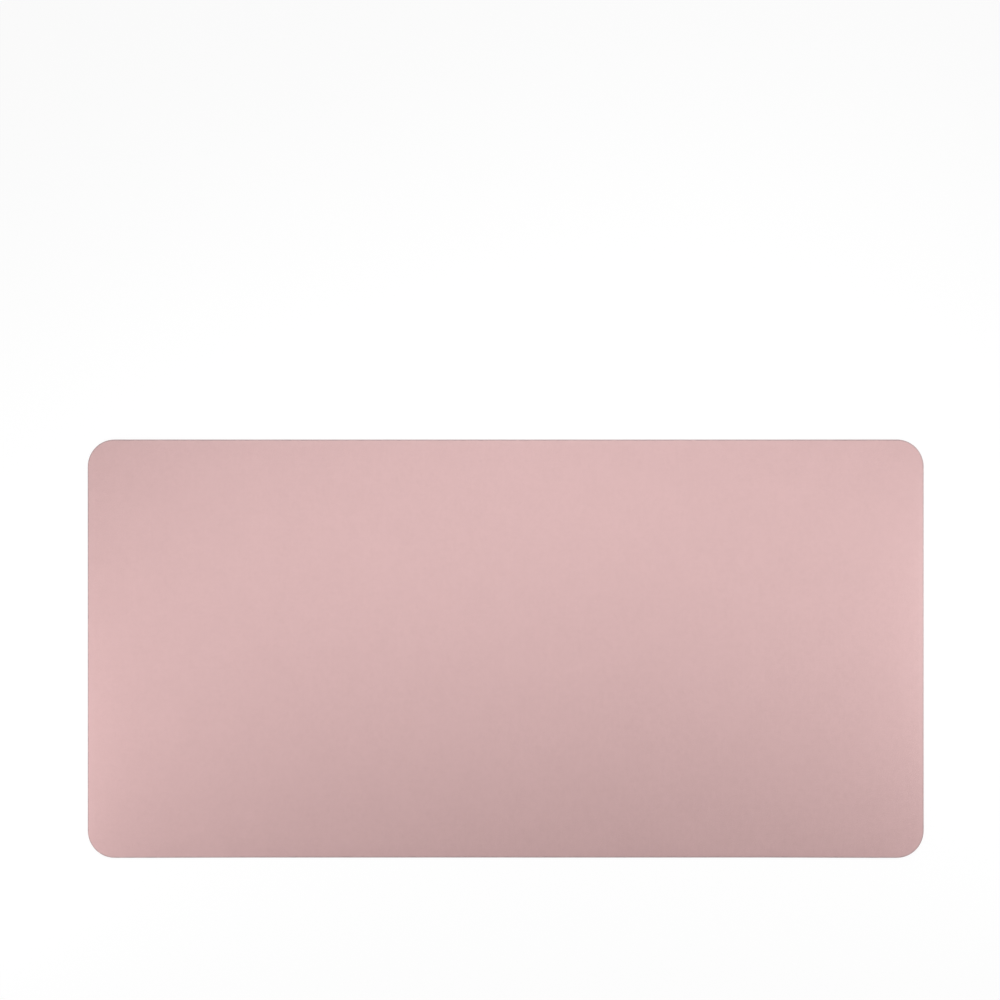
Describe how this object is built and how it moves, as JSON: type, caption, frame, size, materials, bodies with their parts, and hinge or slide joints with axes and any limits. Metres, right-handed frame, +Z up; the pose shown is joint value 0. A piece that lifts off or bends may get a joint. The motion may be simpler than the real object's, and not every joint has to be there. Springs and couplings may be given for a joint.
{
  "type": "desk mat",
  "caption": "Flat rectangular desk mat with rounded corners: grained synthetic leather top, foam core, suede base and a sealed edge.",
  "frame": {"origin": "middle of the mat's underside, on the surface that it lies on", "axes": "+X along the long side, +Y away from the user across the depth, +Z up through the leather top"},
  "size_m": [0.8, 0.4, 0.002],
  "materials": {
    "leather_film": "dusty pink polyurethane film with a fine embossed grain, matt satin",
    "leather_foam": "expanded polyurethane foam coat, matt",
    "backing_knit": "off-white polyester knit",
    "adhesive": "translucent amber hot-melt sheet",
    "core_foam": "light grey closed-cell foam, matt",
    "suede": "warm grey microfibre suede with a short nap",
    "edge_coat": "greyish pink flexible edge coat, satin"
  },
  "bodies": {
    "root": {"grain_film": "leather_film", "foam_coat": "leather_foam", "backing_cloth": "backing_knit", "upper_adhesive": "adhesive", "foam_core": "core_foam", "lower_adhesive": "adhesive", "suede_base": "suede", "edge_coat": "edge_coat"}
  },
  "joints": []
}
